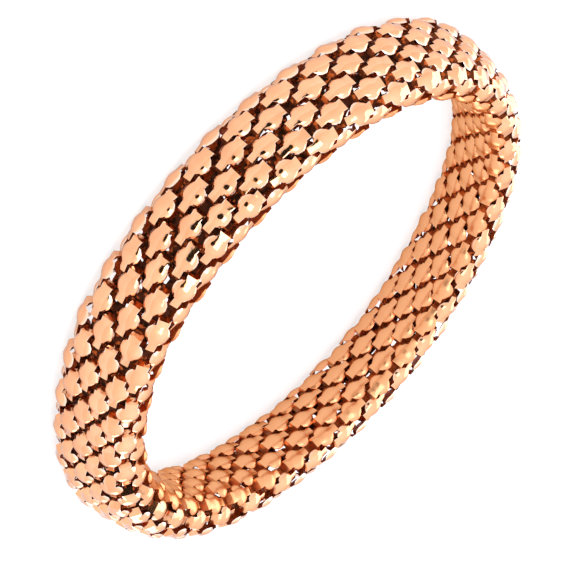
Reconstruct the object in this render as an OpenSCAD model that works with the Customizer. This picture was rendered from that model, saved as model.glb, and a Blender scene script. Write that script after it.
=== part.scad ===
// Mesh bracelet: an endless, hollow, oval band woven from staggered rows of domed links.
// It lies on its side. The origin is the middle of the ring on the surface that it lies on,
// and +Z runs up the ring's axis.

/* [Ring] */
// Clear diameter for the wrist, between opposite domes at the narrowest height
wrist_d = 56; // [48:0.5:70]
// Width of the band over its domes, along the long way of its section
band_w = 9.9; // [8:0.1:14]
// Thickness of the band over its domes, from the wrist side to the outer side
band_t = 5.2; // [4.4:0.1:8]
// Squareness of the band's section, where 2 is a plain ellipse
squareness = 2.7; // [2:0.1:4]
// Lean of the section towards the wrist at the top, in degrees
lean = 12; // [0:1:20]

/* [Mesh] */
// Length of one link with its gap, round the middle of the band
link_pitch = 5.4; // [4.4:0.1:8]
// Spacing of the rows of links, round the band's section
row_pitch = 1.8; // [1.6:0.05:2.6]
// Depth of the gaps between links, below the crowns of the domes
gap_depth = 0.9; // [0.5:0.05:1]
// Depth of a link's rim below its crown
dome_depth = 0.35; // [0.1:0.05:0.45]
// Share of a link's length and width that its flat crown takes
crown_share = 0.5; // [0.3:0.05:0.7]
// Wall of woven links under the gaps
wall = 0.5; // [0.4:0.05:0.8]

/* [Hidden] */

rose_gold = [0.86, 0.56, 0.42];

// Points of the section's outline that measure its length
outline_steps = 360;
// Corners of the hollow's section, and the fineness of its turn
hollow_corners = 48;
hollow_turn = 144;

// A power of a number that keeps the number's sign
function signed_pow(v, e) = sign(v) * pow(abs(v), e);

// Point of a rounded oblong of half thickness t and half width w, at angle a
function oblong(t, w, a) = [
    t * signed_pow(cos(a), 2 / squareness),
    w * signed_pow(sin(a), 2 / squareness)
];

// Outward direction of the band's own oblong at one of its points
function outward(p) =
    let (
        g = [
            signed_pow(2 * p.x / band_t, squareness - 1) / band_t,
            signed_pow(2 * p.y / band_w, squareness - 1) / band_w
        ]
    )
    g / norm(g);

// Length along the outline up to each angle, so that rows can be spread evenly
outline_lengths = [
    for (
        i = 0, s = 0;
        i <= outline_steps;
        s = s + norm(outline_point(i + 1) - outline_point(i)), i = i + 1
    )
    [s, i * 360 / outline_steps]
];
outline_total = outline_lengths[outline_steps][0];
function outline_point(i) = oblong(band_t / 2, band_w / 2, i * 360 / outline_steps);

// An even number of rows, so that they stay staggered all the way round the section
rows = 2 * round(outline_total / row_pitch / 2);

// Point of the section at a row, sunk below the crowns by some depth. Row 0 is the top edge.
function row_point(row, sunk) =
    let (
        turns = 0.25 + row / rows,
        s = outline_total * (turns - floor(turns)),
        p = oblong(band_t / 2, band_w / 2, lookup(s, outline_lengths))
    )
    leaned(p - sunk * outward(p));

// The section's own axes turned by its lean
function leaned(p) = [
    p.x * cos(lean) - p.y * sin(lean),
    p.x * sin(lean) + p.y * cos(lean)
];

// The crowns nearest to the wrist and to the surface below set the ring's radius and height
crowns = [for (row = [0 : rows - 1], side = [-0.5, 0.5]) row_point(row + side * crown_share, 0)];
ring_r = wrist_d / 2 - min([for (p = crowns) p.x]);
ring_z = -min([for (p = crowns) p.y]);

// A whole number of links round the wrist, with a site for each link and for each gap
links_round = round(2 * PI * ring_r / link_pitch);
sites_round = 2 * links_round;
site_step = 360 / sites_round;

// Point of the ring at a section point and an angle
function on_ring(p, turn) = [
    (ring_r + p.x) * cos(turn),
    (ring_r + p.x) * sin(turn),
    ring_z + p.y
];

// A link is centred on every second site, and a gap on each of the others
function is_link(site, row) = (site + row) % 2 == 0;

// Corners of a site's cell and of the crown in it, anticlockwise from outside
cell = [[0.5, -0.5], [0.5, 0.5], [-0.5, 0.5], [-0.5, -0.5]];
sites = [for (site = [0 : sites_round - 1], row = [0 : rows - 1]) [site, row]];

// Rims where four cells meet, then four crown points for each link and a floor point for each gap
rim_points = [
    for (s = sites)
    on_ring(row_point(s[1] + 0.5, dome_depth), (s[0] + 0.5) * site_step)
];
crown_points = [
    for (s = sites, c = cell)
    if (is_link(s[0], s[1]))
    on_ring(row_point(s[1] + c[1] * crown_share, 0), (s[0] + c[0] * crown_share) * site_step)
];
floor_points = [
    for (s = sites)
    if (!is_link(s[0], s[1]))
    on_ring(row_point(s[1], gap_depth), s[0] * site_step)
];

function rim_index(site, row) =
    ((site + sites_round) % sites_round) * rows + (row + rows) % rows;
function rim_of(s, c) = rim_index(s[0] + c[0] - 0.5, s[1] + c[1] - 0.5);

// Links and gaps take turns, so each kind is numbered by half its site's place in the list
function turn_of(s) = floor((s[0] * rows + s[1]) / 2);
function crown_of(s, corner) = len(rim_points) + turn_of(s) * len(cell) + corner % len(cell);
function floor_of(s) = len(rim_points) + len(crown_points) + turn_of(s);

// A link is a small flat crown with four sides that slope down to its rim
function link_faces(s) = [
    [for (corner = [3 : -1 : 0]) crown_of(s, corner)],
    for (corner = [0 : 3])
    [
        crown_of(s, corner),
        crown_of(s, corner + 1),
        rim_of(s, cell[(corner + 1) % len(cell)]),
        rim_of(s, cell[corner])
    ]
];

// A gap is a pit of four sides that slope from its rim down to one point
function gap_faces(s) = [
    for (corner = [0 : 3])
    [floor_of(s), rim_of(s, cell[(corner + 1) % len(cell)]), rim_of(s, cell[corner])]
];

skin_points = concat(rim_points, crown_points, floor_points);
skin_faces = [for (s = sites) each is_link(s[0], s[1]) ? link_faces(s) : gap_faces(s)];

// Outer form of the woven links
module woven_skin() {
    polyhedron(points = skin_points, faces = skin_faces, convexity = 6);
}

// The hollow inside the woven tube
module hollow() {
    sunk = gap_depth + wall;
    translate([0, 0, ring_z])
        rotate_extrude($fn = hollow_turn)
            polygon([
                for (i = [0 : hollow_corners - 1])
                [ring_r, 0] + leaned(
                    oblong(band_t / 2 - sunk, band_w / 2 - sunk, i * 360 / hollow_corners)
                )
            ]);
}

// The whole endless band, one woven piece
module mesh_band() {
    color(rose_gold)
        difference() {
            woven_skin();
            hollow();
        }
}

mesh_band();
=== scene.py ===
"""Rose gold mesh bracelet: every link of the band, its polished finish and a soft studio."""

import math
import random

import bmesh
import bpy
from bpy.props import FloatProperty, FloatVectorProperty, IntProperty, PointerProperty
from mathutils import Matrix, Vector


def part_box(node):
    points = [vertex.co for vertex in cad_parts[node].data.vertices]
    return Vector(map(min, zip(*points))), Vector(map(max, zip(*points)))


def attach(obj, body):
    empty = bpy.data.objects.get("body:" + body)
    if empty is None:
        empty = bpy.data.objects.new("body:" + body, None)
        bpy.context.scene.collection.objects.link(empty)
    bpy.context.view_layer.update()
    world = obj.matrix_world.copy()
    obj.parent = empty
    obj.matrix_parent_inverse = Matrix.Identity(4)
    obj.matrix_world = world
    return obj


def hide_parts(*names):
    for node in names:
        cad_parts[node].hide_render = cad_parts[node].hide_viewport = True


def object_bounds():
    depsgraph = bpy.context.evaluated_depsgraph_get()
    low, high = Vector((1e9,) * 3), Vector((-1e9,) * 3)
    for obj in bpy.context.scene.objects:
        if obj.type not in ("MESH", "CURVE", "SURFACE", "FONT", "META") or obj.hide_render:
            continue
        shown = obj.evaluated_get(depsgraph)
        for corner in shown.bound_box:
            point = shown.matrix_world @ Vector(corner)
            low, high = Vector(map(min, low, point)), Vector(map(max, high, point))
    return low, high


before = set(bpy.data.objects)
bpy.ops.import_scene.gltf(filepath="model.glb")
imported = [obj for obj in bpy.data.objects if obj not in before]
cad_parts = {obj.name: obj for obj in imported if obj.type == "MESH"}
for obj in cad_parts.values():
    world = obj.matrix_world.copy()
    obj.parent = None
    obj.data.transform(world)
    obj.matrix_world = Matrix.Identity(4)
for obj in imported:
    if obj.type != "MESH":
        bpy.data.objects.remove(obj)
cad_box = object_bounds()

bl_info = {
    "name": "Mesh Bracelet",
    "version": (1, 0, 0),
    "blender": (4, 5, 0),
    "location": "View3D > Sidebar > Bracelet",
    "description": "Builds a rose gold mesh bracelet link by link, and a soft studio round it",
    "category": "Object",
}

MM = 0.001
BAND_NODE = "mesh_band"
LINK_NAME = "link_master"
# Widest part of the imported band, from the ring's axis
OUTER_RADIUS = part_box(BAND_NODE)[1].x

# One link, from the lip of its wide end to the tongue that passes under the next link. Each
# station gives its place along the link, its half width, and the height of its middle and its
# edges above the crown of the dome, all in millimetres.
LINK_STATIONS = (
    (-2.06, 0.70, -1.02, -1.04),
    (-1.72, 0.71, -0.26, -0.29),
    (-1.10, 0.65, -0.20, -0.24),
    (-0.92, 0.91, -0.16, -0.54),
    (-0.46, 1.23, -0.06, -0.72),
    (0.00, 1.32, 0.00, -0.72),
    (0.48, 1.22, -0.06, -0.72),
    (0.92, 0.93, -0.18, -0.66),
    (1.22, 0.47, -0.36, -0.42),
    (2.12, 0.49, -0.54, -0.58),
    (2.30, 0.46, -1.22, -1.22),
    (2.56, 0.46, -1.56, -1.54),
    (3.75, 0.52, -1.60, -1.58),
    (3.90, 1.22, -1.64, -1.56),
    (4.75, 1.18, -1.64, -1.56),
)
ALONG, HALF_WIDTH, MIDDLE, EDGE = range(4)
LENGTH_FACES = len(LINK_STATIONS) - 1
# The dome runs from its first station up to the leg, which drops to the sunk tongue. The tongue
# ends in wings that close the gaps between the outer rows.
FIRST_DOME_STATION = 1
LEG_STATION = 9
FIRST_SUNK_STATION = 10
FIRST_WING_STATION = 13
DOME_STATIONS = LINK_STATIONS[FIRST_DOME_STATION:LEG_STATION]
DOME_HALF_WIDTH = max(station[HALF_WIDTH] for station in DOME_STATIONS) * MM
DOME_DROP = -min(station[EDGE] for station in DOME_STATIONS) * MM
# The points across a link, as shares of its half width, and how far the dome has dropped there
CROSS_STATIONS = ((0.0, 0.0), (0.52, 0.12), (0.86, 0.46), (1.0, 1.0))
CROSS_FACES = 2 * (len(CROSS_STATIONS) - 1)

# A link starts as a flat grid, whose points wait below it between their two moves
GRID_SIZE = 2
WAITING_DEPTH = 1
# Points closer to a place than this are taken to lie there
NEAR = 0.03 * MM
# How far before a station its own points begin, in millimetres
STATION_MARGIN = 0.02
# Edges that reach further along a link than this run lengthwise
LENGTHWISE = 0.04 * MM
# Faces that meet at less than this are shaded as one smooth surface
SMOOTH_ANGLE = math.radians(40)

# Points that measure the length of the section's outline
OUTLINE_STEPS = 720
# Share of the outline that lies before the first row, which runs along the top edge
FIRST_ROW_SHARE = 0.25
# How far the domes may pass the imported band's lowest and highest levels
SINK = 0.19 * MM
# What is left of the width of a link's tongue and of its wings where the gaps are open
OPEN_TONGUE = 0.95
OPEN_WING = 0.5
# Rows have open gaps behind the ring's middle where they face less outwards or inwards than
# this, and before it where they face less outwards than this
OPEN_BEHIND = 0.9
OPEN_BEFORE = 0.3
# How soon the rows take the wrist side's rougher finish and its painted darker shade as they turn
# inwards
INWARD_GAIN = 1.5

# How the soft mesh has crept, at even steps round the ring: how far the links have gone back
# along their rows, in millimetres, back round the section, in rows, and outwards, in
# millimetres, and how far the band's two sides have swollen apart, in millimetres
CREEP_STATIONS = (
    (0.90, -0.05, -0.15, 0.70),
    (0.42, 0.06, 0.30, 0.55),
    (0.08, -0.23, 0.20, 0.30),
    (0.58, -0.01, 0.25, 0.30),
    (1.16, -0.33, -0.15, 0.30),
    (1.00, -0.20, 0.30, 0.15),
    (0.80, 0.00, 0.20, 0.05),
    (0.50, 0.13, 0.00, 0.10),
    (0.11, 0.11, -0.25, 0.10),
    (0.42, 0.23, 0.05, 0.15),
    (0.48, 0.15, 0.65, 0.30),
    (1.06, -0.24, -0.15, 0.35),
)

# How far a link's back, its cut edge and its leg count as lying in the gap, which sets how much
# painted bounce light and painted shade they get
BACK_RECESS = 0.75
RIM_RECESS = 0.22
LEG_RECESS = 0.94
# A face is on the back if it points up less than the first of these, and on the dome if it
# points up at least as much as the second
BACK_FACING = -0.3
DOME_FACING = 0.1
# The lip at the wide end points back along the link, so that its share forwards is below this
LIP_FACING = -0.7
# The top faces of the tongue point up by more than this
TONGUE_FACING = 0.2
# Points further out than this share of the half width are on the domes' rims, which get a painted
# highlight
BORDER_SHARE = 0.93

# How fine the finish's patches are, with the patches of painted shade and the painted glints, as
# the scale of their noise over a metre
CLOUD_SCALE = 450.0
DENT_SCALE = 900.0
RIPPLE_SCALE = 2600.0
SHADE_PATCH_SCALE = 1100.0
GLINT_SCALE = 1500.0
# The noise at which each kind of patch begins, and at which it is full
BLUSH_RANGE = (0.36, 0.64)
SHADE_PATCH_RANGE = (0.55, 0.40)
GLINT_RANGE = (0.56, 0.66)
# Height of the ripples as a share of the dents' height
RIPPLE_HEIGHT = 0.25
# Share of a link's own tone in how warm it is; the patches have the rest
TONE_SHARE = 0.4
# How far the rims and the gaps on the wrist side go towards the painted bounce light
WRIST_RIM_BOUNCE_LIGHT = 0.5
WRIST_GAP_BOUNCE_LIGHT = 0.4
# What the patches, the gaps and the wrist side add to the roughness
CLOUD_ROUGHNESS = 0.05
GAP_ROUGHNESS = 0.6
WRIST_ROUGHNESS = 0.2
# How much less metallic the gaps are, and how much less clear shine the wrist side has
GAP_DULLNESS = 0.9
WRIST_DULLNESS = 0.8
# Tint of the reflections in the gaps and along the edges of the domes
REFLECTION_TINT = (0.60, 0.34, 0.20, 1.0)

# The soft lights, named as their brightness is: how far each stands round the ring from the
# front and up from the floor, in degrees, and the length of its sides, in metres
SOFT_BOXES = {
    "front_box": (0, 56, 0.26),
    "back_box": (220, 22, 0.5),
    "side_box": (137, 14, 0.2),
}
# How far out the soft lights stand, the floor's side, and the size of the card and its place
# behind the camera, all in metres
BOX_DISTANCE = 0.5
FLOOR_SIZE = 6
CARD_RADIUS = 0.092
CARD_BEHIND = 0.02
# How much light the dark card gives back, and the colour of the light near the floor
CARD_SHADE = 0.01
WHITE = (1.0, 1.0, 1.0, 1.0)


class BandSizes(bpy.types.PropertyGroup):
    """How the rows of links lie round the band."""

    links_round: IntProperty(
        name="Links Round", description="Links in one row round the wrist",
        default=36, min=24, max=54,
    )
    rows: IntProperty(
        name="Rows", description="Rows of links round the band's section",
        default=14, min=10, max=20,
    )
    width: FloatProperty(
        name="Band Width", description="Width of the band over its domes",
        default=9.9 * MM, unit="LENGTH", precision=4,
    )
    thickness: FloatProperty(
        name="Band Thickness", description="Thickness of the band over its domes",
        default=5.2 * MM, unit="LENGTH", precision=4,
    )
    squareness: FloatProperty(
        name="Squareness", description="Squareness of the band's section; 2 is an ellipse",
        default=2.7, min=2, max=4,
    )
    lean: FloatProperty(
        name="Lean", description="Lean of the section towards the wrist at the top",
        default=math.radians(12), subtype="ANGLE",
    )


class LinkSizes(bpy.types.PropertyGroup):
    """The form of one link and how evenly the links sit."""

    sheet: FloatProperty(
        name="Sheet", description="Thickness of the metal that a link is stamped from",
        default=0.34 * MM, unit="LENGTH", precision=5,
    )
    proud: FloatProperty(
        name="Proud", description="How far the domes stand out of the packed band",
        default=0.3 * MM, unit="LENGTH", precision=5,
    )
    shortening: FloatProperty(
        name="Shortening", description="How much links shorten where the ring is smaller",
        default=0.3, min=0, max=1,
    )
    sway: FloatProperty(
        name="Sway", description="Largest turn of a link out of its even place",
        default=math.radians(3), subtype="ANGLE",
    )
    play: FloatProperty(
        name="Play", description="Largest shift of a link out of its even place",
        default=0.05 * MM, unit="LENGTH", precision=5,
    )
    seed: IntProperty(name="Seed", description="Seed of the links' small unevenness", default=7)


class GoldFinish(bpy.types.PropertyGroup):
    """The polished rose gold."""

    polished: FloatVectorProperty(
        name="Polished", description="Colour of the polished domes",
        subtype="COLOR", size=3, default=(0.93, 0.425, 0.17), min=0, max=1,
    )
    warm: FloatVectorProperty(
        name="Warm", description="Colour of the domes that lean warmer",
        subtype="COLOR", size=3, default=(0.80, 0.305, 0.095), min=0, max=1,
    )
    # Colour of a painted highlight along the domes' rims, standing in for light caught by their
    # rounded edges
    painted_rim_light: FloatVectorProperty(
        name="Border", description="Colour of the domes' burnished borders",
        subtype="COLOR", size=3, default=(0.97, 0.70, 0.52), min=0, max=1,
    )
    # Painted darker, warmer shade for the domes on the wrist side, standing in for the dimmer
    # light inside the ring
    wrist: FloatVectorProperty(
        name="Wrist Side", description="Colour of the domes that touch the wrist",
        subtype="COLOR", size=3, default=(0.80, 0.36, 0.155), min=0, max=1,
    )
    # Painted bounce light and shade, as where links light each other, for rims, backs, legs and
    # the wrist side
    painted_bounce_light: FloatVectorProperty(
        name="Ember", description="Colour of the metal where links light each other",
        subtype="COLOR", size=3, default=(0.80, 0.16, 0.03), min=0, max=1,
    )
    # Painted dark brown shade, standing in for the shade down in the gaps
    painted_recess_shade: FloatVectorProperty(
        name="Recess", description="Colour of the metal down in the gaps",
        subtype="COLOR", size=3, default=(0.085, 0.019, 0.008), min=0, max=1,
    )
    # The darkest painted shade in the gaps
    darkest_painted_shade: FloatVectorProperty(
        name="Hollow", description="Colour of the darkest places in the gaps",
        subtype="COLOR", size=3, default=(0.018, 0.003, 0.001), min=0, max=1,
    )
    # Colour of painted glints in the gaps
    glint: FloatVectorProperty(
        name="Glint", description="Colour of the small glints in the gaps",
        subtype="COLOR", size=3, default=(0.72, 0.15, 0.03), min=0, max=1,
    )
    roughness: FloatProperty(
        name="Roughness", description="Roughness of the polished domes",
        default=0.09, min=0, max=1,
    )
    shine: FloatProperty(
        name="Shine", description="Share of a clear shine over the metal",
        default=1.0, min=0, max=1,
    )
    dents: FloatProperty(
        name="Dents", description="Depth of the shallow unevenness of the domes",
        default=0.05 * MM, unit="LENGTH", precision=6,
    )


class StudioSizes(bpy.types.PropertyGroup):
    """The camera, the floor and the light."""

    distance: FloatProperty(
        name="Distance", description="Distance of the camera from the ring's middle",
        default=339.5 * MM, unit="LENGTH",
    )
    azimuth: FloatProperty(
        name="Azimuth", description="Way round the ring to the camera, from the front",
        default=math.radians(-0.1), subtype="ANGLE",
    )
    elevation: FloatProperty(
        name="Elevation", description="Height of the camera above the ring's plane",
        default=math.radians(24.4), subtype="ANGLE",
    )
    roll: FloatProperty(
        name="Roll", description="Turn of the camera about its line of sight",
        default=math.radians(129.4), subtype="ANGLE",
    )
    aim_right: FloatProperty(
        name="Aim Right", description="Aim right of the ring's middle, in the picture",
        default=-1.32 * MM, unit="LENGTH", precision=5,
    )
    aim_up: FloatProperty(
        name="Aim Up", description="Aim above the ring's middle, in the picture",
        default=-0.07 * MM, unit="LENGTH", precision=5,
    )
    lens: FloatProperty(
        name="Lens", description="Focal length of the camera, in millimetres",
        default=186.9, min=50, max=400,
    )
    wall_light: FloatProperty(
        name="Wall Light", description="Strength of the room's light near the floor",
        default=1.2, min=0, max=10,
    )
    roof_light: FloatProperty(
        name="Roof Light", description="Strength of the room's light from above",
        default=1.9, min=0, max=10,
    )
    front_box: FloatProperty(
        name="Front Box", description="Brightness of the soft light above the camera",
        default=2.6, min=0, max=50,
    )
    back_box: FloatProperty(
        name="Back Box", description="Brightness of the soft light behind the ring",
        default=2.0, min=0, max=50,
    )
    side_box: FloatProperty(
        name="Side Box", description="Brightness of the small soft light beside the ring",
        default=3.0, min=0, max=50,
    )
    cool: FloatVectorProperty(
        name="Cool Light", description="Colour of the light from above",
        subtype="COLOR", size=3, default=(0.80, 0.86, 1.0), min=0, max=1,
    )
    floor_white: FloatProperty(
        name="Floor White", description="Share of the light that the floor gives back",
        default=0.35, min=0, max=1,
    )
    floor_glow: FloatProperty(
        name="Floor Glow", description="Light that comes through the floor, as on a light table",
        default=0.72, min=0, max=10,
    )
    far_glow: FloatProperty(
        name="Far Glow", description="Light that comes through the floor away from the ring",
        default=0.95, min=0, max=10,
    )
    glow_near: FloatProperty(
        name="Glow Near", description="Distance from the ring's axis where the floor brightens",
        default=44 * MM, unit="LENGTH",
    )
    glow_far: FloatProperty(
        name="Glow Far", description="Distance from the ring's axis where the floor is brightest",
        default=110 * MM, unit="LENGTH",
    )


def settings(context):
    """All the values that a user can change."""
    return context.scene.bracelet


def outline_points(sizes):
    """Points of the section's outline, each with the length of the outline up to it."""
    points = []
    length = 0.0
    for step in range(OUTLINE_STEPS + 1):
        point = oblong_point(sizes, 2 * math.pi * step / OUTLINE_STEPS)
        if points:
            length += (point - points[-1][1]).length
        points.append((length, point))
    return points


def signed_power(value, exponent):
    """A power of a number that keeps the number's sign."""
    return math.copysign(abs(value) ** exponent, value)


def oblong_point(sizes, angle):
    """A point of the band's rounded oblong section, before it leans."""
    exponent = 2 / sizes.squareness
    return Vector((
        sizes.thickness / 2 * signed_power(math.cos(angle), exponent),
        sizes.width / 2 * signed_power(math.sin(angle), exponent),
    ))


def row_place(sizes, outline, row):
    """Where a row lies on the leaning section, and its outward direction."""
    total = outline[-1][0]
    wanted = total * ((FIRST_ROW_SHARE + row / sizes.rows) % 1)
    after = next(i for i, (length, _) in enumerate(outline) if length >= wanted)
    before = max(after - 1, 0)
    span = outline[after][0] - outline[before][0]
    share = (wanted - outline[before][0]) / span if span else 0.0
    point = outline[before][1].lerp(outline[after][1], share)
    slope = Vector((
        signed_power(2 * point.x / sizes.thickness, sizes.squareness - 1) / sizes.thickness,
        signed_power(2 * point.y / sizes.width, sizes.squareness - 1) / sizes.width,
    )).normalized()
    lean = Matrix.Rotation(sizes.lean, 2)
    return lean @ point, lean @ slope


def creep(turn):
    """How far the mesh has crept at a place: back, round, outwards, and how far it swells."""
    step = 360 / len(CREEP_STATIONS)
    place = math.degrees(turn) % 360 / step
    first = int(place)
    share = place - first
    eased = share * share * (3 - 2 * share)
    following = CREEP_STATIONS[(first + 1) % len(CREEP_STATIONS)]
    return [
        before + (after - before) * eased
        for before, after in zip(CREEP_STATIONS[first], following)
    ]


class BandRows:
    """The rows' places on the section, and the ring that they go round."""

    def __init__(self, sizes, proud):
        self.sizes = sizes
        self.proud = proud
        self.outline = outline_points(sizes)
        self.places = [row_place(sizes, self.outline, row) for row in range(sizes.rows)]
        self.radius = OUTER_RADIUS - max(point.x for point, _ in self.places)
        self.height = -min(point.y for point, _ in self.places)
        self.widest = max(self.row_radius(row) for row in range(sizes.rows))
        self.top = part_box(BAND_NODE)[1].z

    def row_radius(self, row):
        """Distance of a row's domes from the ring's axis."""
        return self.radius + self.places[row][0].x

    def row_bend(self, row):
        """How much the ring bends a row, as one over the radius of the bend."""
        return self.places[row][1].x / self.row_radius(row)

    def link_matrix(self, row, turn):
        """The place of a link: X runs along the row and Z points out of the band."""
        back, round_section, outwards, swell = creep(turn)
        turn -= back * MM / self.radius
        point, slope = row_place(self.sizes, self.outline, row - round_section)
        out = Vector((math.cos(turn), math.sin(turn), 0))
        along = Vector((-math.sin(turn), math.cos(turn), 0))
        up = Vector((0, 0, 1))
        normal = out * slope.x + up * slope.y
        across = normal.cross(along)
        height = self.height + point.y + normal.z * self.proud
        # A dome's sides reach past its crown where the section turns, so the height is kept
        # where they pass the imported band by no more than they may
        reach = max(
            share * DOME_HALF_WIDTH * abs(across.z) - drop * DOME_DROP * abs(normal.z)
            for share, drop in CROSS_STATIONS
        )
        height = min(max(height, reach - SINK), self.top + SINK - reach)
        radius = self.radius + outwards * MM + point.x
        radius += slope.x * (self.proud + swell * MM)
        middle = out * radius + up * height
        turned = Matrix((along, across, normal)).transposed().to_4x4()
        return Matrix.Translation(middle) @ turned


class ShaderWire:
    """A shader value that can be written into sums, such as 1 - mask."""

    def __init__(self, tree, socket):
        self.tree = tree
        self.socket = socket

    def _math(self, operation, first, second):
        made = self.tree.nodes.new("ShaderNodeMath")
        made.operation = operation
        for place, value in enumerate((first, second)):
            connect(self.tree, made.inputs[place], value)
        return ShaderWire(self.tree, made.outputs[0])

    def __add__(self, other):
        return self._math("ADD", self, other)

    def __radd__(self, other):
        return self._math("ADD", other, self)

    def __sub__(self, other):
        return self._math("SUBTRACT", self, other)

    def __rsub__(self, other):
        return self._math("SUBTRACT", other, self)

    def __mul__(self, other):
        return self._math("MULTIPLY", self, other)

    def __rmul__(self, other):
        return self._math("MULTIPLY", other, self)


def connect(tree, socket, value):
    """Feeds a socket with a wire, or sets its value."""
    if isinstance(value, ShaderWire):
        tree.links.new(value.socket, socket)
    else:
        socket.default_value = value


class ShaderBench:
    """Makes the nodes of one material, or of the room's light."""

    def __init__(self, owner):
        owner.use_nodes = True
        self.owner = owner
        self.tree = owner.node_tree
        self.tree.nodes.clear()

    def node(self, kind, options=None, output=0, **inputs):
        """One node: its options are set first, then its sockets. Gives back one output."""
        made = self.tree.nodes.new(kind)
        for name, value in (options or {}).items():
            setattr(made, name, value)
        for name, value in inputs.items():
            connect(self.tree, made.inputs[name.replace("_", " ")], value)
        return ShaderWire(self.tree, made.outputs[output]) if made.outputs else made

    def blend_colours(self, share, first, second):
        """A colour that goes from the first to the second."""
        made = self.tree.nodes.new("ShaderNodeMix")
        made.data_type = "RGBA"
        connect(self.tree, made.inputs["Factor"], share)
        colours = [socket for socket in made.inputs if socket.type == "RGBA"]
        for socket, value in zip(colours, (first, second)):
            connect(self.tree, socket, value)
        result = next(socket for socket in made.outputs if socket.type == "RGBA")
        return ShaderWire(self.tree, result)

    def mark(self, name):
        """The value of one of the links' own marks."""
        return self.node("ShaderNodeAttribute", {"attribute_name": name}, output="Fac")

    def patches(self, place, scale, detail=1.0):
        """Soft patches over the metal, as noise between 0 and 1."""
        return self.node("ShaderNodeTexNoise", Vector=place, Scale=scale, Detail=detail)

    def stretched(self, value, start, full):
        """A value that goes from 0 at its start to 1 where it is full."""
        return self.node("ShaderNodeMapRange", Value=value, From_Min=start, From_Max=full)


def opaque(colour):
    """A colour property with full alpha."""
    return (*colour, 1.0)


def dome_colour(bench, finish, clouds, inward):
    """The domes: patches of two golds with a painted pale highlight along their rims, and painted
    darker, warmer shade on the side by the wrist.
    """
    painted_rim_light = bench.mark("painted_rim_light")
    blush = bench.stretched(clouds, *BLUSH_RANGE)
    polished = bench.blend_colours(
        bench.mark("tone") * TONE_SHARE + blush * (1 - TONE_SHARE),
        opaque(finish.polished), opaque(finish.warm),
    )
    # The rims of the outer domes get a painted pale highlight
    outer = bench.blend_colours(painted_rim_light, polished, opaque(finish.painted_rim_light))
    # On the wrist side the domes get painted darker shade, and their rims painted bounce light
    wrist = bench.blend_colours(
        painted_rim_light * WRIST_RIM_BOUNCE_LIGHT, opaque(finish.wrist), opaque(finish.painted_bounce_light)
    )
    return bench.blend_colours(inward, outer, wrist)


def gap_colour(bench, finish, place, depth, inward):
    """The gaps: painted dark shade with near-black painted patches, painted glints where links
    light each other, and painted bounce light on the wrist side.
    """
    # Near-black patches of painted shade, and painted glints that grow where the gap is less deep
    painted_dark_patches = bench.stretched(bench.patches(place, SHADE_PATCH_SCALE), *SHADE_PATCH_RANGE)
    glints = bench.stretched(bench.patches(place, GLINT_SCALE) + (1 - depth), *GLINT_RANGE)
    dark = bench.blend_colours(painted_dark_patches, opaque(finish.painted_recess_shade), opaque(finish.darkest_painted_shade))
    glinting = bench.blend_colours(glints, dark, opaque(finish.glint))
    # On the wrist side the gaps take some painted bounce light
    return bench.blend_colours(inward * WRIST_GAP_BOUNCE_LIGHT, glinting, opaque(finish.painted_bounce_light))


def rose_gold_material(finish):
    """Polished rose gold: warm domes with shallow dents, and duller metal in the gaps under
    painted dark brown shade.
    """
    bench = ShaderBench(bpy.data.materials.new("rose_gold"))
    place = bench.node("ShaderNodeTexCoord", output="Object")
    # How far a face lies down in the gap, which sets its painted shade and duller metal
    depth = bench.mark("painted_recess_shade")
    inward = bench.mark("inward")
    clouds = bench.patches(place, CLOUD_SCALE, detail=2.0)
    ripples = bench.patches(place, RIPPLE_SCALE, detail=0.0)
    # Half way down, between the dome and the gap, the metal takes a painted bounce light and
    # shade, as where links light each other
    upper = bench.blend_colours(
        depth * 2, dome_colour(bench, finish, clouds, inward), opaque(finish.painted_bounce_light)
    )
    colour = bench.blend_colours(
        depth * 2 - 1, upper, gap_colour(bench, finish, place, depth, inward)
    )
    roughness = finish.roughness + clouds * CLOUD_ROUGHNESS + depth * GAP_ROUGHNESS
    normal = bench.node(
        "ShaderNodeBump", Strength=1.0, Distance=finish.dents,
        Height=bench.patches(place, DENT_SCALE) + ripples * RIPPLE_HEIGHT,
    )
    surface = bench.node(
        "ShaderNodeBsdfPrincipled", Base_Color=colour, Metallic=1 - depth * GAP_DULLNESS,
        Roughness=roughness + inward * WRIST_ROUGHNESS, Normal=normal,
        Specular_Tint=REFLECTION_TINT,
        Coat_Weight=finish.shine * (1 - depth) * (1 - depth) * (1 - inward * WRIST_DULLNESS),
        Coat_Roughness=0.04, Coat_IOR=2.0,
    )
    bench.node("ShaderNodeOutputMaterial", Surface=surface)
    return bench.owner


def deselect_all():
    """Leaves nothing selected, in object mode."""
    if bpy.context.mode != "OBJECT":
        bpy.ops.object.mode_set(mode="OBJECT")
    bpy.ops.object.select_all(action="DESELECT")


def select_points(piece, wanted):
    """Selects the points of a piece in edit mode that a test picks by their place."""
    shape = bmesh.from_edit_mesh(piece.data)
    for point in shape.verts:
        point.select = wanted(point.co)
    shape.select_flush_mode()
    bmesh.update_edit_mesh(piece.data)


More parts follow.
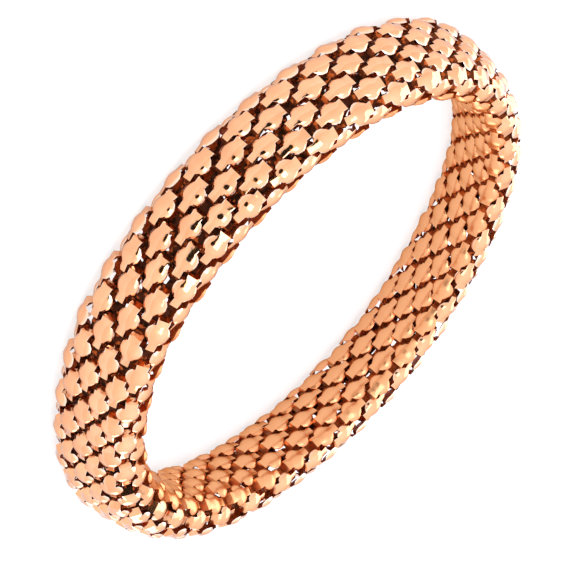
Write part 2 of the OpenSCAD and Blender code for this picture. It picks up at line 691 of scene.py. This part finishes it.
def model_link(link_sizes):
    """One link: a domed leaf of sheet metal whose tongue bends down into the gap."""
    deselect_all()
    bpy.ops.mesh.primitive_grid_add(
        x_subdivisions=LENGTH_FACES, y_subdivisions=CROSS_FACES, size=GRID_SIZE
    )
    link = bpy.context.active_object
    link.name = LINK_NAME
    bpy.ops.object.mode_set(mode="EDIT")
    bpy.ops.mesh.select_mode(type="VERT")
    spread_stations(link)
    raise_dome(link)
    bpy.ops.object.mode_set(mode="OBJECT")
    wall = link.modifiers.new("sheet", "SOLIDIFY")
    wall.thickness = link_sizes.sheet
    wall.offset = -1
    wall.use_even_offset = False
    bpy.ops.object.modifier_apply(modifier=wall.name)
    flatten_back(link)
    mark_recess(link)
    mark_border(link)
    bpy.ops.object.shade_smooth_by_angle(angle=SMOOTH_ANGLE)
    return link


def spread_stations(link):
    """Gives each row of the grid its station's place and width, and sets it down to wait."""
    grid_step = GRID_SIZE / LENGTH_FACES
    for number, station in enumerate(LINK_STATIONS):
        start = number * grid_step - GRID_SIZE / 2
        select_points(link, lambda p: abs(p.x - start) < grid_step / 4 and abs(p.z) < NEAR)
        bpy.ops.transform.resize(value=(1, station[HALF_WIDTH] * MM, 1))
        bpy.ops.transform.translate(value=(station[ALONG] * MM - start, 0, -WAITING_DEPTH))


def raise_dome(link):
    """Moves the waiting points across to their shares of the width and up to their heights."""
    for station in LINK_STATIONS:
        along = station[ALONG] * MM
        for column, (share, drop) in enumerate(CROSS_STATIONS):
            start = 2 * column / CROSS_FACES
            beside = start * station[HALF_WIDTH] * MM
            height = station[MIDDLE] + (station[EDGE] - station[MIDDLE]) * drop
            select_points(
                link,
                lambda p: abs(p.x - along) < NEAR and p.z < -WAITING_DEPTH / 2
                and abs(abs(p.y) - beside) < NEAR,
            )
            if start:
                bpy.ops.transform.resize(value=(1, share / start, 1))
            bpy.ops.transform.translate(value=(0, 0, WAITING_DEPTH + height * MM))


def station_place(number, margin=0.0):
    """Where a station lies along the link, or a small margin before it."""
    return (LINK_STATIONS[number][ALONG] - margin) * MM


def flatten_back(link):
    """Leaves one face across each stretch of the back and the tongue, which are flat."""
    sunk_from = station_place(FIRST_SUNK_STATION, STATION_MARGIN)
    bpy.ops.object.mode_set(mode="EDIT")
    bpy.ops.mesh.select_mode(type="EDGE")
    shape = bmesh.from_edit_mesh(link.data)
    for edge in shape.edges:
        lengthwise = abs(edge.verts[0].co.x - edge.verts[1].co.x) > LENGTHWISE
        behind = all(face.normal.z < 0 for face in edge.link_faces)
        above = all(face.normal.z > TONGUE_FACING for face in edge.link_faces)
        sunk = min(point.co.x for point in edge.verts) > sunk_from
        edge.select = lengthwise and (behind or (above and sunk))
    bmesh.update_edit_mesh(link.data)
    bpy.ops.mesh.dissolve_edges(use_verts=True)
    bpy.ops.object.mode_set(mode="OBJECT")


def bend_link(link, length, bend, is_open):
    """Shortens a link and bends it along with the ring, so that its tongue keeps its depth."""
    tongue_from = station_place(FIRST_SUNK_STATION, STATION_MARGIN)
    wing_from = station_place(FIRST_WING_STATION, STATION_MARGIN)
    for point in link.data.vertices:
        if is_open and point.co.x > tongue_from:
            point.co.y *= OPEN_WING if point.co.x > wing_from else OPEN_TONGUE
        point.co.x *= length
        point.co.z -= bend * point.co.x ** 2 / 2


def mark_recess(link):
    """Marks each face by how far it lies down in the gap, 0 on the domes and 1 below them, for
    its painted shade and duller metal.
    """
    marks = link.data.attributes.new("painted_recess_shade", "FLOAT", "FACE")
    for face, mark in zip(link.data.polygons, marks.data):
        if face.center.x > station_place(FIRST_SUNK_STATION):
            mark.value = 1.0
        elif face.center.x > station_place(LEG_STATION):
            mark.value = LEG_RECESS
        elif face.normal.x < LIP_FACING or face.normal.z >= DOME_FACING:
            mark.value = 0.0
        elif face.normal.z < BACK_FACING:
            mark.value = BACK_RECESS
        else:
            mark.value = RIM_RECESS


def mark_border(link):
    """Marks the points on the dome's rim, where a painted highlight fades towards the crown."""
    marks = link.data.attributes.new("painted_rim_light", "FLOAT", "POINT")
    for point, mark in zip(link.data.vertices, marks.data):
        station = min(LINK_STATIONS, key=lambda s: abs(s[ALONG] * MM - point.co.x))
        is_outer = abs(point.co.y) > BORDER_SHARE * station[HALF_WIDTH] * MM
        mark.value = 1.0 if is_outer and station in DOME_STATIONS else 0.0


def place_copy(master, matrix, **marks):
    """A copy of the link with its own mesh, in its place, with its own marks for its finish."""
    copy = master.copy()
    copy.data = master.data.copy()
    bpy.context.collection.objects.link(copy)
    copy.data.transform(matrix)
    for name, value in marks.items():
        for mark in copy.data.attributes.new(name, "FLOAT", "POINT").data:
            mark.value = value
    return copy


def join_row(copies, name):
    """One piece out of a row's links."""
    deselect_all()
    for copy in copies:
        copy.select_set(True)
    bpy.context.view_layer.objects.active = copies[0]
    bpy.ops.object.join()
    piece = bpy.context.active_object
    piece.name = name
    piece.data.name = name
    return piece


class BRACELET_OT_rows(bpy.types.Operator):
    """Models one link and sets copies of it round every row of the band"""

    bl_idname = "bracelet.rows"
    bl_label = "Rows of Links"

    def execute(self, context):
        values = settings(context)
        band = BandRows(values.band, values.link.proud)
        chance = random.Random(values.link.seed)
        gold = rose_gold_material(values.gold)
        link = model_link(values.link)
        link.data.materials.append(gold)
        for row in range(values.band.rows):
            copies = links_of_row(link, band, row, values.link, chance)
            piece = join_row(copies, f"mesh_row_{row + 1:02d}")
            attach(piece, "root")
            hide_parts(BAND_NODE)
        bpy.data.objects.remove(link)
        return {"FINISHED"}


def links_of_row(link, band, row, link_sizes, chance):
    """Copies of the link all round one row, shortened and bent to fit it."""
    length = (band.row_radius(row) / band.widest) ** link_sizes.shortening
    row_links = {}
    for is_open in (False, True):
        row_links[is_open] = place_copy(link, Matrix.Identity(4))
        bend_link(row_links[is_open], length, band.row_bend(row), is_open)
    outward = band.places[row][1].x
    inward = min(max(-outward * INWARD_GAIN, 0), 1)
    copies = []
    for number in range(band.sizes.links_round):
        # Every second row starts half a link further on, which staggers the rows
        turn = 2 * math.pi * (number + row % 2 / 2) / band.sizes.links_round
        matrix = band.link_matrix(row, turn) @ uneven(chance, link_sizes)
        is_behind = turn < math.pi
        is_open = abs(outward) < OPEN_BEHIND if is_behind else outward < OPEN_BEFORE
        copies.append(place_copy(
            row_links[is_open], matrix, tone=chance.random(), inward=inward
        ))
    for row_link in row_links.values():
        bpy.data.objects.remove(row_link)
    return copies


def uneven(chance, link_sizes):
    """The small turn and shift that takes a link out of its even place."""
    turns = [chance.uniform(-1, 1) * link_sizes.sway for _ in range(3)]
    shift = Vector([chance.uniform(-1, 1) * link_sizes.play for _ in range(3)])
    turned = Matrix.Identity(4)
    for turn, axis in zip(turns, "XYZ"):
        turned = turned @ Matrix.Rotation(turn, 4, axis)
    return Matrix.Translation(shift) @ turned


def card_material():
    """The dark matt surface of the card behind the camera."""
    bench = ShaderBench(bpy.data.materials.new("card_black"))
    surface = bench.node(
        "ShaderNodeBsdfPrincipled", Base_Color=opaque([CARD_SHADE] * 3), Roughness=1.0,
        Specular_IOR_Level=0.0,
    )
    bench.node("ShaderNodeOutputMaterial", Surface=surface)
    return bench.owner


def floor_material(values):
    """The pale floor, whose light grows stronger and cooler away from the ring."""
    bench = ShaderBench(bpy.data.materials.new("pale_floor"))
    place = bench.node("ShaderNodeTexCoord", output="Object")
    distance = bench.node(
        "ShaderNodeVectorMath", {"operation": "LENGTH"}, output="Value", Vector=place
    )
    share = bench.node(
        "ShaderNodeMapRange", Value=distance, From_Min=values.glow_near, From_Max=values.glow_far
    )
    near = [values.floor_glow] * 3
    far = [values.far_glow * part for part in values.cool]
    surface = bench.node(
        "ShaderNodeBsdfPrincipled", Base_Color=opaque([values.floor_white] * 3), Roughness=1.0,
        Specular_IOR_Level=0.0, Emission_Strength=1.0,
        Emission_Color=bench.blend_colours(share, opaque(near), opaque(far)),
    )
    bench.node("ShaderNodeOutputMaterial", Surface=surface)
    return bench.owner


def direction(azimuth, elevation):
    """The way out from the ring, turned round from the front and up from the floor."""
    level = math.cos(elevation)
    return Vector((
        math.sin(azimuth) * level, -math.cos(azimuth) * level, math.sin(elevation),
    ))


def facing_back(away):
    """The turn of a camera or lamp that stands out in a direction and looks back along it."""
    return away.to_track_quat("Z", "Y").to_matrix().to_4x4()


class BRACELET_OT_stage(bpy.types.Operator):
    """Sets up the camera, the pale floor and the soft light"""

    bl_idname = "bracelet.stage"
    bl_label = "Studio"

    def execute(self, context):
        values = settings(context).studio
        low, high = cad_box
        camera = self.add_camera(context, values, (low + high) / 2)
        self.add_floor(values, low.z - SINK)
        self.add_card(camera)
        self.add_room(context, values)
        for name, (azimuth, elevation, size) in SOFT_BOXES.items():
            away = direction(math.radians(azimuth), math.radians(elevation))
            self.add_soft_box(name, away, size, getattr(values, name), values.cool)
        context.scene.view_settings.view_transform = "Standard"
        return {"FINISHED"}

    def add_camera(self, context, values, middle):
        """The camera at the photograph's angle to the ring."""
        upright = facing_back(direction(values.azimuth, values.elevation))
        turned = upright @ Matrix.Rotation(values.roll, 4, "Z")
        data = bpy.data.cameras.new("camera")
        data.lens = values.lens
        data.sensor_width = 36.0
        data.clip_start = 0.01
        data.clip_end = 20.0
        camera = bpy.data.objects.new("camera", data)
        context.scene.collection.objects.link(camera)
        aim = turned @ Vector((values.aim_right, values.aim_up, values.distance))
        camera.matrix_world = Matrix.Translation(middle + aim) @ turned
        context.scene.camera = camera
        return camera

    def add_floor(self, values, height):
        """A wide pale floor that the ring lies on."""
        deselect_all()
        bpy.ops.mesh.primitive_plane_add(size=FLOOR_SIZE, location=(0, 0, height))
        floor = bpy.context.active_object
        floor.name = "floor"
        floor.data.materials.append(floor_material(values))

    def add_card(self, camera):
        """A dark round card behind the camera that only the polished metal sees."""
        deselect_all()
        bpy.ops.mesh.primitive_circle_add(radius=CARD_RADIUS, vertices=32, fill_type="NGON")
        card = bpy.context.active_object
        card.name = "camera_card"
        card.matrix_world = camera.matrix_world @ Matrix.Translation((0, 0, CARD_BEHIND))
        card.data.materials.append(card_material())
        card.visible_camera = False
        card.visible_diffuse = False
        card.visible_shadow = False
        card.visible_transmission = False

    def add_soft_box(self, name, away, size, radiance, colour):
        """A square soft light that stands out in a direction and shines on the ring."""
        deselect_all()
        bpy.ops.object.light_add(type="AREA")
        lamp = bpy.context.active_object
        lamp.name = name
        lamp.data.shape = "SQUARE"
        lamp.data.size = size
        lamp.data.color = colour
        # A flat lamp's power is its area times pi times its radiance
        lamp.data.energy = math.pi * size ** 2 * radiance
        lamp.matrix_world = Matrix.Translation(away * BOX_DISTANCE) @ facing_back(away)

    def add_room(self, context, values):
        """Even light from all round that grows stronger and cooler towards the roof."""
        context.scene.world = bpy.data.worlds.new("soft_room")
        bench = ShaderBench(context.scene.world)
        place = bench.node("ShaderNodeTexCoord", output="Generated")
        height = bench.node("ShaderNodeSeparateXYZ", output="Z", Vector=place)
        rise = height * height
        light = bench.node(
            "ShaderNodeBackground",
            Color=bench.blend_colours(rise, WHITE, opaque(values.cool)),
            Strength=values.wall_light + rise * (values.roof_light - values.wall_light),
        )
        bench.node("ShaderNodeOutputWorld", Surface=light)


class BRACELET_PT_panel(bpy.types.Panel):
    """Shows the bracelet's settings and a button for each step"""

    bl_idname = "BRACELET_PT_panel"
    bl_label = "Mesh Bracelet"
    bl_space_type = "VIEW_3D"
    bl_region_type = "UI"
    bl_category = "Bracelet"

    def draw(self, context):
        values = settings(context)
        for group in (values.band, values.link, values.gold, values.studio):
            box = self.layout.box()
            for name in group.__annotations__:
                box.prop(group, name)
        for step in STEPS:
            self.layout.operator(step.bl_idname)


class BraceletSettings(bpy.types.PropertyGroup):
    """Everything that a user can change."""

    band: PointerProperty(type=BandSizes)
    link: PointerProperty(type=LinkSizes)
    gold: PointerProperty(type=GoldFinish)
    studio: PointerProperty(type=StudioSizes)


STEPS = (BRACELET_OT_rows, BRACELET_OT_stage)
CLASSES = (
    BandSizes, LinkSizes, GoldFinish, StudioSizes, BraceletSettings, *STEPS, BRACELET_PT_panel,
)


def register():
    """Registers the classes and their settings."""
    for kind in CLASSES:
        bpy.utils.register_class(kind)
    bpy.types.Scene.bracelet = PointerProperty(type=BraceletSettings)


def unregister():
    """Removes the settings and the classes."""
    del bpy.types.Scene.bracelet
    for kind in reversed(CLASSES):
        bpy.utils.unregister_class(kind)


def main():
    """Builds the bracelet and its studio."""
    register()
    for step in STEPS:
        group, name = step.bl_idname.split(".")
        getattr(getattr(bpy.ops, group), name)()


if __name__ == "__main__":
    main()
